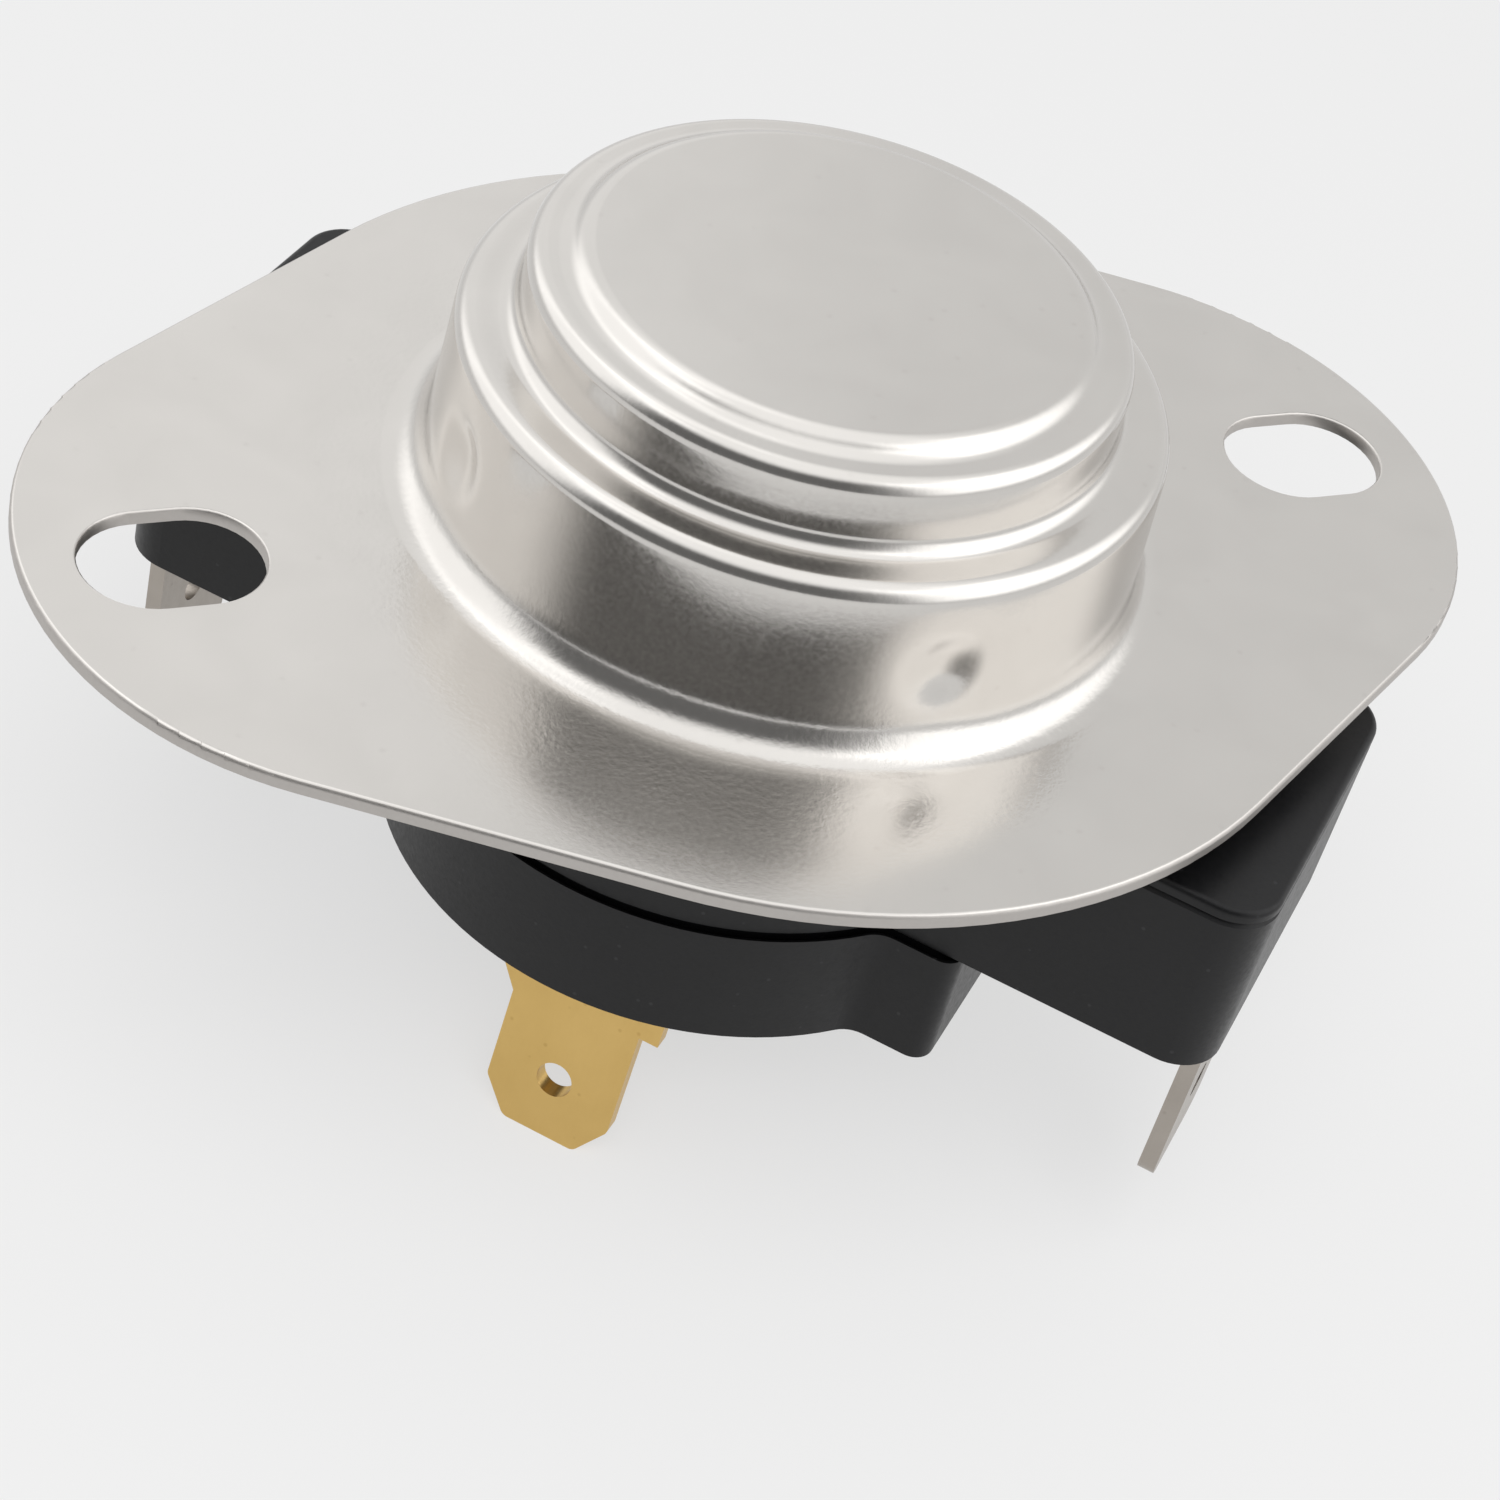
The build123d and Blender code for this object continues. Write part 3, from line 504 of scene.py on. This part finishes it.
def spinCup(cup):
    section = cupSection(cup)
    bpy.ops.object.select_all(action="DESELECT")
    bpy.ops.mesh.primitive_plane_add(size=mm)
    shell = bpy.context.active_object
    shell.name = "drawn_cup"
    bpy.ops.object.mode_set(mode="EDIT")
    bpy.ops.mesh.merge(type="CENTER")
    bpy.ops.transform.translate(value=(0, 0, section[0][1] * mm))
    for (across, up), (nextAcross, nextUp) in zip(section, section[1:]):
        step = ((nextAcross - across) * mm, 0, (nextUp - up) * mm)
        bpy.ops.mesh.extrude_region_move(TRANSFORM_OT_translate={"value": step})
    bpy.ops.mesh.select_all(action="SELECT")
    bpy.ops.mesh.spin(steps=cup["turns"], angle=2 * math.pi, center=(0, 0, 0), axis=(0, 0, 1))
    bpy.ops.mesh.select_all(action="SELECT")
    bpy.ops.mesh.remove_doubles(threshold=mergeReach)
    bpy.ops.mesh.normals_make_consistent(inside=False)
    wallSpread = cup["footRadius"] - cup["ledgeRadius"]
    stakeAcross = cup["footRadius"] - wallSpread * cup["stakeHeight"] / cup["ledgeHeight"]
    for outwardX, outwardY in ((1, 0), (0, 1), (-1, 0), (0, -1)):
        place = (outwardX * stakeAcross, outwardY * stakeAcross, cup["stakeHeight"])
        for kind in ("dent", "stake"):  # each stake is a small dish in a wide shallow dent
            reach, depth = cup[kind + "Reach"] * mm, cup[kind + "Depth"] * mm
            pickPoints(shell, lambda *point: math.dist(point, place) < cup["wallStep"])
            bpy.ops.transform.translate(
                value=(-outwardX * depth, -outwardY * depth, 0),
                use_proportional_edit=True, proportional_edit_falloff="SMOOTH", proportional_size=reach,
            )
    bpy.ops.object.mode_set(mode="OBJECT")
    if max(shell.data.polygons, key=lambda face: face.center.z).normal.z < 0:
        shell.data.flip_normals()
    useModifier(shell, "SOLIDIFY", {
        "thickness": cup["sheet"] * mm, "offset": -1, "use_even_offset": True, "use_rim": False,
    })
    return shell


def joinFlange(shell, cup):  # the flange's own rim and slots, joined to the flare above and below
    flange = copyNode("mounting_cup", "punched_flange")
    bpy.ops.object.mode_set(mode="EDIT")
    keptReach = cup["keptFrom"] + cup["keptMargin"]
    pickPoints(flange, lambda x, y, z: math.hypot(x, y) < keptReach)
    bpy.ops.mesh.delete(type="FACE")
    bpy.ops.mesh.select_all(action="SELECT")
    bpy.ops.mesh.delete_loose()
    bpy.ops.mesh.select_all(action="SELECT")
    bpy.ops.mesh.dissolve_limited(angle_limit=math.radians(cup["flatAngle"]))  # level faces lose slivers
    bpy.ops.object.mode_set(mode="OBJECT")
    selectOnly(shell, flange)
    bpy.ops.object.join()
    bpy.ops.object.mode_set(mode="EDIT")
    bpy.ops.mesh.select_mode(type="EDGE")
    seamReach = cup["keptFrom"] + cup["seamMargin"]
    for low, high in cup["seamLevels"]:
        pickOpenEdges(shell, lambda x, y, z: math.hypot(x, y) < seamReach and low < z < high)
        bpy.ops.mesh.bridge_edge_loops()
    bpy.ops.mesh.select_mode(type="VERT")
    bpy.ops.object.mode_set(mode="OBJECT")
    selectOnly(shell)
    bpy.ops.object.shade_smooth_by_angle(angle=math.radians(cup["smoothAngle"]))
    useModifier(shell, "WEIGHTED_NORMAL", {"mode": "FACE_AREA", "keep_sharp": True})  # flat up to the rim


cup = spinCup(drawnCup)
joinFlange(cup, drawnCup)
settle(cup, "drawnSteel", ["mounting_cup"])
print("mounting cup drawn:", len(cup.data.polygons), "faces")


# Studio: a pale floor, pale surroundings with a dark flag and three bright cards, and a soft lamp in front

studio = {
    "floorSize": 4.0, "floorTone": fromScreen(240, 240, 240), "floorGlow": 0.7, "fill": 0.64,
    "base": 0.86, "overhead": 0.45, "overheadLow": 0.7, "overheadHigh": 0.96,
}
# What metal and gloss mirror, in degrees: the turn of a patch's middle, its half width and the softness of
# its sides, the rise of its lower and upper edge and their softness; last, the light it adds or takes away.
surroundings = {
    "darkFlag": (226, 50, 34, -8, 54, 30, -0.69),
    "rightGlow": (326, 36, 26, 8, 64, 16, 0.9),
    "farLeftCard": (92, 30, 16, 8, 76, 14, 0.2),
    "leftCard": (142, 34, 24, 8, 68, 16, 0.55),
}
frontSoftbox = {"place": (-0.10, -0.22, 0.40), "turn": (28, -14, 0), "size": (0.35, 0.35), "watts": 1.3}
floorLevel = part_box("line_terminal")[0].z
bpy.ops.object.select_all(action="DESELECT")
bpy.ops.mesh.primitive_plane_add(size=studio["floorSize"], location=(0, 0, floorLevel))
floor = bpy.context.active_object
floor.name = "studioFloor"


def mixShaders(tree, share, first, second):
    mix = addNode(tree, "ShaderNodeMixShader")
    for index, source in enumerate((share, first, second)):
        tree.links.new(source, mix.inputs[index])
    return mix.outputs[0]


def buildFloorFinish():  # matt paper with a share of even glow in what is seen, so its shadow stays light
    material = bpy.data.materials.new("floorPaper")
    material.use_nodes = True
    tree = material.node_tree
    tree.nodes.clear()
    paper = addNode(tree, "ShaderNodeBsdfDiffuse", {}, {"Color": studio["floorTone"]}).outputs[0]
    glow = addNode(tree, "ShaderNodeEmission", {}, {"Color": studio["floorTone"], "Strength": 1}).outputs[0]
    path = addNode(tree, "ShaderNodeLightPath").outputs
    seen = mathNode(tree, "MAXIMUM", path["Is Camera Ray"], path["Is Glossy Ray"])
    seen = mathNode(tree, "MAXIMUM", seen, path["Is Transmission Ray"])
    lit = mixShaders(tree, mathNode(tree, "MULTIPLY", seen, studio["floorGlow"]), paper, glow)
    clear = addNode(tree, "ShaderNodeBsdfTransparent").outputs[0]
    fromBelow = addNode(tree, "ShaderNodeNewGeometry").outputs["Backfacing"]
    surface = mixShaders(tree, fromBelow, lit, clear)  # seen from below, the floor doesn't hide the part
    tree.links.new(surface, addNode(tree, "ShaderNodeOutputMaterial").inputs[0])
    return material


floor.data.materials.append(buildFloorFinish())


def patchMask(tree, direction, patch):  # a window of the surroundings, with soft edges
    turn, halfTurn, turnEdge, riseFrom, riseTo, riseEdge = patch
    aim = (math.cos(math.radians(turn)), math.sin(math.radians(turn)), 0)
    level = addNode(tree, "ShaderNodeVectorMath", {"operation": "MULTIPLY"}, {1: (1, 1, 0)})
    unit = addNode(tree, "ShaderNodeVectorMath", {"operation": "NORMALIZE"})
    match = addNode(tree, "ShaderNodeVectorMath", {"operation": "DOT_PRODUCT"}, {1: aim})
    tree.links.new(direction, level.inputs[0])
    tree.links.new(level.outputs[0], unit.inputs[0])
    tree.links.new(unit.outputs[0], match.inputs[0])
    outer, inner = (math.cos(math.radians(halfTurn + side * turnEdge / 2)) for side in (1, -1))
    around = smoothStep(tree, match.outputs["Value"], outer, inner)
    height = splitPlace(tree, direction)["Z"]
    lowEdge = [math.sin(math.radians(riseFrom + side * riseEdge / 2)) for side in (-1, 1)]
    highEdge = [math.sin(math.radians(riseTo + side * riseEdge / 2)) for side in (1, -1)]
    above = smoothStep(tree, height, *lowEdge)
    below = smoothStep(tree, height, *highEdge)
    return mathNode(tree, "MULTIPLY", around, mathNode(tree, "MULTIPLY", above, below))


def buildWorld():  # even light on the object, while gloss and metal see the patches
    world = bpy.data.worlds.new("paleStudio")
    bpy.context.scene.world = world
    world.use_nodes = True
    tree = world.node_tree
    tree.nodes.clear()
    direction = addNode(tree, "ShaderNodeTexCoord").outputs["Generated"]
    height = splitPlace(tree, direction)["Z"]
    ceiling = smoothStep(tree, height, studio["overheadLow"], studio["overheadHigh"])
    level = mathNode(tree, "MULTIPLY_ADD", ceiling, studio["overhead"], studio["base"])
    for *patch, gain in surroundings.values():
        level = mathNode(tree, "MULTIPLY_ADD", patchMask(tree, direction, patch), gain, level)
    white = (1, 1, 1, 1)
    fill = addNode(tree, "ShaderNodeBackground", {}, {"Color": white, "Strength": studio["fill"]})
    mirrored = addNode(tree, "ShaderNodeBackground", {}, {"Color": white})
    tree.links.new(level, mirrored.inputs["Strength"])
    seen = addNode(tree, "ShaderNodeBackground", {}, {"Color": studio["floorTone"], "Strength": 1})
    path = addNode(tree, "ShaderNodeLightPath").outputs
    shiny = mathNode(tree, "MAXIMUM", path["Is Glossy Ray"], path["Is Transmission Ray"])
    unseen = mixShaders(tree, shiny, fill.outputs[0], mirrored.outputs[0])
    surroundingLight = mixShaders(tree, path["Is Camera Ray"], unseen, seen.outputs[0])
    tree.links.new(surroundingLight, addNode(tree, "ShaderNodeOutputWorld").inputs[0])


buildWorld()


def addLamp(name, look):  # an area lamp that lights the object and stays out of its reflections
    bpy.ops.object.light_add(
        type="AREA", location=look["place"], rotation=[math.radians(angle) for angle in look["turn"]]
    )
    lamp = bpy.context.active_object
    lamp.name = name
    lamp.data.shape = "RECTANGLE"
    lamp.data.size, lamp.data.size_y = look["size"]
    lamp.data.energy = look["watts"]
    lamp.visible_glossy = False


addLamp("frontSoftbox", frontSoftbox)
print("studio lit")


# Camera, at the photograph's view

cameraLook = {  # metres, degrees, and millimetres for the lens and sensor
    "place": (-65.67 * mm, -104.89 * mm, 93.37 * mm), "turn": (47.809, -12.003, -22.205),
    "lens": 84.07, "sensor": 36, "nearest": 0.005, "farthest": 20,
}
bpy.ops.object.camera_add(
    location=cameraLook["place"], rotation=[math.radians(angle) for angle in cameraLook["turn"]]
)
camera = bpy.context.active_object
camera.data.lens = cameraLook["lens"]
camera.data.sensor_width = cameraLook["sensor"]
camera.data.clip_start = cameraLook["nearest"]
camera.data.clip_end = cameraLook["farthest"]
bpy.context.scene.camera = camera
bpy.context.scene.view_settings.view_transform = "Standard"
print("camera set")
